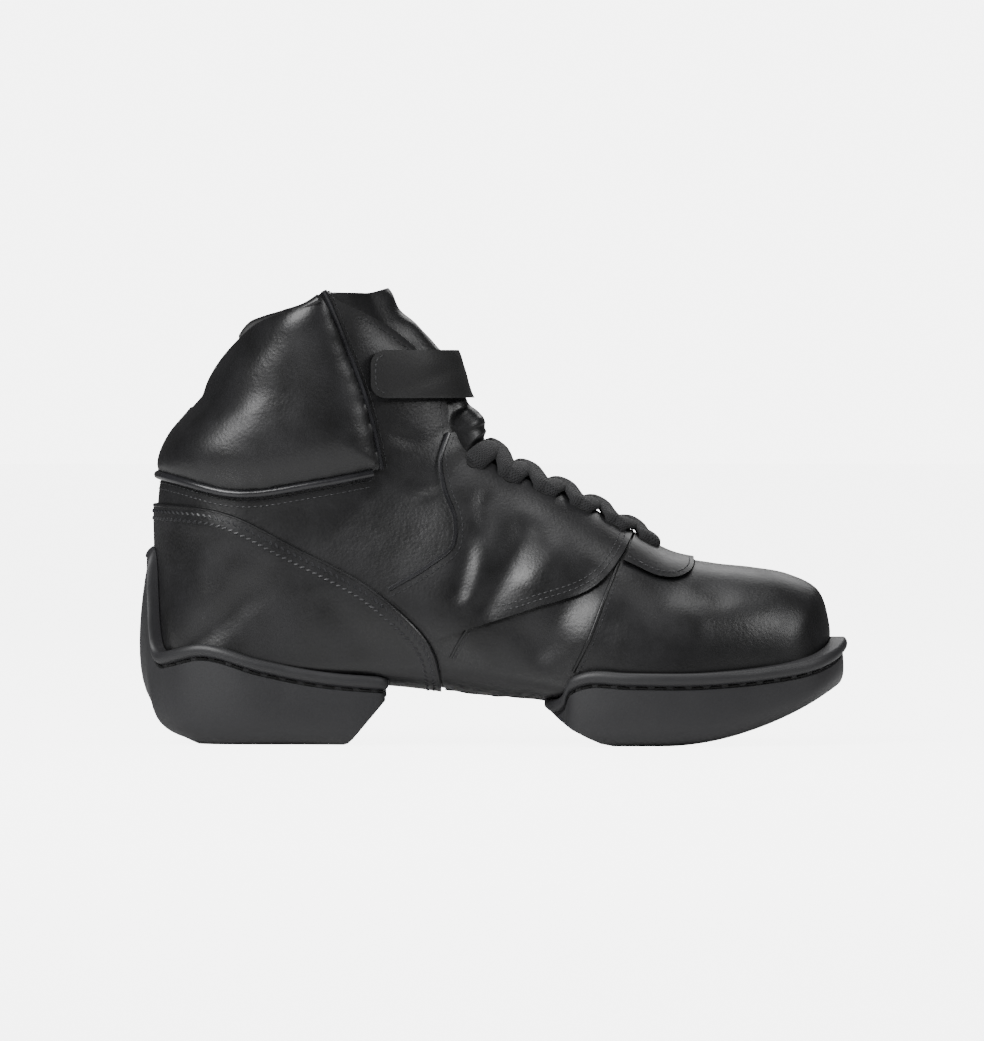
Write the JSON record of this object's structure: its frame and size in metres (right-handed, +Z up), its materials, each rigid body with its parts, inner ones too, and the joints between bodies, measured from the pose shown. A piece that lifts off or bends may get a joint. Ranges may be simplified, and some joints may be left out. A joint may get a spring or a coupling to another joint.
{
  "type": "dance sneaker",
  "caption": "High-top split-sole dance sneaker for the right foot, laced, with a padded collar, an ankle strap and separate heel and forefoot sole units.",
  "frame": {"origin": "middle of the shoe's bounding box, on the floor under the soles", "axes": "+X from heel to toe, +Z up from the floor, -Y towards the outer side of the foot"},
  "size_m": [0.275, 0.1082, 0.1751],
  "materials": {
    "upper_leather": "smooth black leather, semi-gloss, fine grain",
    "counter_leather": "smooth black leather, stiffened, semi-gloss",
    "overlay_leather": "smooth black leather, stitched edges",
    "pad_leather": "soft black leather over foam, rumpled",
    "tongue_leather": "soft black leather over foam",
    "insole_cloth": "black woven lining",
    "strap_leather": "black leather strap, edge stitched",
    "lace_cord": "black woven lace, matt",
    "sole_rubber": "matt black moulded rubber"
  },
  "bodies": {
    "root": {"upper": "upper_leather", "counter": "counter_leather", "eyestay_lateral": "overlay_leather", "eyestay_medial": "overlay_leather", "throat_bib": "overlay_leather", "collar_pad": "pad_leather", "tongue": "tongue_leather", "insole": "insole_cloth", "ankle_strap": "strap_leather", "lace": "lace_cord", "outsole_heel": "sole_rubber", "outsole_forefoot": "sole_rubber"}
  },
  "joints": []
}
